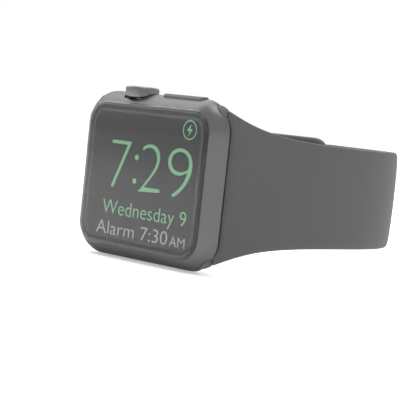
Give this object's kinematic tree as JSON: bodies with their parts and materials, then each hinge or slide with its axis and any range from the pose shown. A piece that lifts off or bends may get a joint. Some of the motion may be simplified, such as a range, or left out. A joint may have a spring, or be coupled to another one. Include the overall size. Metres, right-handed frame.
{
  "type": "smartwatch",
  "caption": "Rectangular aluminium smartwatch with turning crown, side button, domed sensor back and a closed pin-and-tuck rubber band.",
  "frame": {"origin": "outermost point of the domed back crystal, where a charger holds the watch", "axes": "+Z out along the crown, the display looks to -Y, +X along the long side of the face towards the side button, the band loop lies towards +Y"},
  "size_m": [0.061, 0.0704, 0.0379],
  "materials": {
    "case_aluminium": "fine blasted and anodised, satin",
    "button_aluminium": "fine blasted and anodised, satin",
    "cover_glass": "polished ion-strengthened glass",
    "gasket_black": "matt",
    "display": "unlit display, dark grey",
    "shield_steel": "stamped, satin",
    "flex_copper": "polyimide over copper",
    "battery_foil": "wrinkled laminate foil",
    "board_resin": "solder mask and mould resin",
    "tungsten": "sintered, dark",
    "spring_steel": "rolled",
    "black_plastic": "moulded",
    "microphone_can": "plated can",
    "back_composite": "moulded composite",
    "back_crystal": "polished crystal",
    "window_glass": "polished lens",
    "led_lens": "clear lens over die",
    "ferrite": "matt sheet",
    "magnet_nickel": "nickel plated",
    "bushing_brass": "turned",
    "turned_steel": "turned",
    "crown_disc": "gloss disc",
    "lug_polymer": "moulded in the colour of the strap",
    "strap_rubber": "matt fluoroelastomer",
    "pin_steel": "polished"
  },
  "bodies": {
    "case": {"case_shell": "case_aluminium", "front_glass": "cover_glass", "glass_gasket": "gasket_black", "display_panel": "display", "display_shield": "shield_steel", "display_flex": "flex_copper", "battery": "battery_foil", "battery_flex": "flex_copper", "system_package": "board_resin", "haptic_housing": "shield_steel", "haptic_springs": "spring_steel", "speaker_module": "black_plastic", "speaker_mesh": "black_plastic", "microphone": "microphone_can", "light_sensor": "board_resin", "back_cover": "back_composite", "back_crystal": "back_crystal", "sensor_windows": "window_glass", "sensor_board": "board_resin", "sensor_leds": "led_lens", "charging_coil": "flex_copper", "coil_shield": "ferrite", "alignment_magnet": "magnet_nickel", "crown_bushing": "bushing_brass", "crown_bracket": "shield_steel", "crown_encoder": "board_resin", "crown_dome": "spring_steel", "bracket_screws": "shield_steel", "side_button_bracket": "shield_steel", "side_button_dome": "spring_steel"},
    "crown_carriage": {"crown_plate": "turned_steel"},
    "crown": {"crown_shaft": "turned_steel", "crown_cap": "button_aluminium", "crown_insert": "crown_disc", "crown_seals": "gasket_black", "crown_circlip": "turned_steel"},
    "side_button": {"side_button": "button_aluminium", "side_button_seal": "gasket_black", "side_button_clip": "turned_steel"},
    "release_left": {"release_button_left": "button_aluminium"},
    "release_right": {"release_button_right": "button_aluminium"},
    "haptic_weight": {"haptic_mass": "tungsten"},
    "band": {"lug_left": "lug_polymer", "lug_right": "lug_polymer", "strap_long": "strap_rubber", "strap_short": "strap_rubber", "strap_pin": "pin_steel", "pin_backplate": "pin_steel", "latch_spring_left": "spring_steel", "latch_spring_right": "spring_steel"},
    "latch_left": {"latch_left": "turned_steel"},
    "latch_right": {"latch_right": "turned_steel"}
  },
  "joints": [
    {"name": "crown_press", "type": "slide", "parent": "case", "child": "crown_carriage", "axis": [0, 0, -1], "range_m": [0, 0.0002], "stiffness_N_per_m": 400, "springref_m": -0.0005, "deforming": ["crown_dome"]},
    {"name": "crown_spin", "type": "hinge", "parent": "crown_carriage", "child": "crown", "pos_m": [-0.0066, -0.0069, 0.017], "axis": [0, 0, 1], "continuous": true},
    {"name": "side_button_press", "type": "slide", "parent": "case", "child": "side_button", "axis": [0, 0, -1], "range_m": [0, 0.00035], "stiffness_N_per_m": 400, "springref_m": -0.0005, "deforming": ["side_button_dome"]},
    {"name": "release_left_press", "type": "slide", "parent": "case", "child": "release_left", "axis": [0, -1, 0], "range_m": [0, 0.00045], "stiffness_N_per_m": 400, "springref_m": -0.0005},
    {"name": "release_right_press", "type": "slide", "parent": "case", "child": "release_right", "axis": [0, -1, 0], "range_m": [0, 0.00045], "stiffness_N_per_m": 400, "springref_m": -0.0005},
    {"name": "haptic_slide", "type": "slide", "parent": "case", "child": "haptic_weight", "axis": [1, 0, 0], "range_m": [-0.0004, 0.0004], "stiffness_N_per_m": 500, "deforming": ["haptic_springs"]},
    {"name": "band_slide", "type": "slide", "parent": "case", "child": "band", "axis": [0, 0, 1], "range_m": [0, 0.04]},
    {"name": "latch_left_slide", "type": "slide", "parent": "band", "child": "latch_left", "axis": [0, -1, 0], "range_m": [0, 0.00045], "stiffness_N_per_m": 300, "springref_m": -0.0005, "deforming": ["latch_spring_left"]},
    {"name": "latch_right_slide", "type": "slide", "parent": "band", "child": "latch_right", "axis": [0, -1, 0], "range_m": [0, 0.00045], "stiffness_N_per_m": 300, "springref_m": -0.0005, "deforming": ["latch_spring_right"]}
  ],
  "couplings": [
    {"joint": "latch_left_slide", "follows": "release_left_press", "ratio": 1},
    {"joint": "latch_right_slide", "follows": "release_right_press", "ratio": 1}
  ]
}
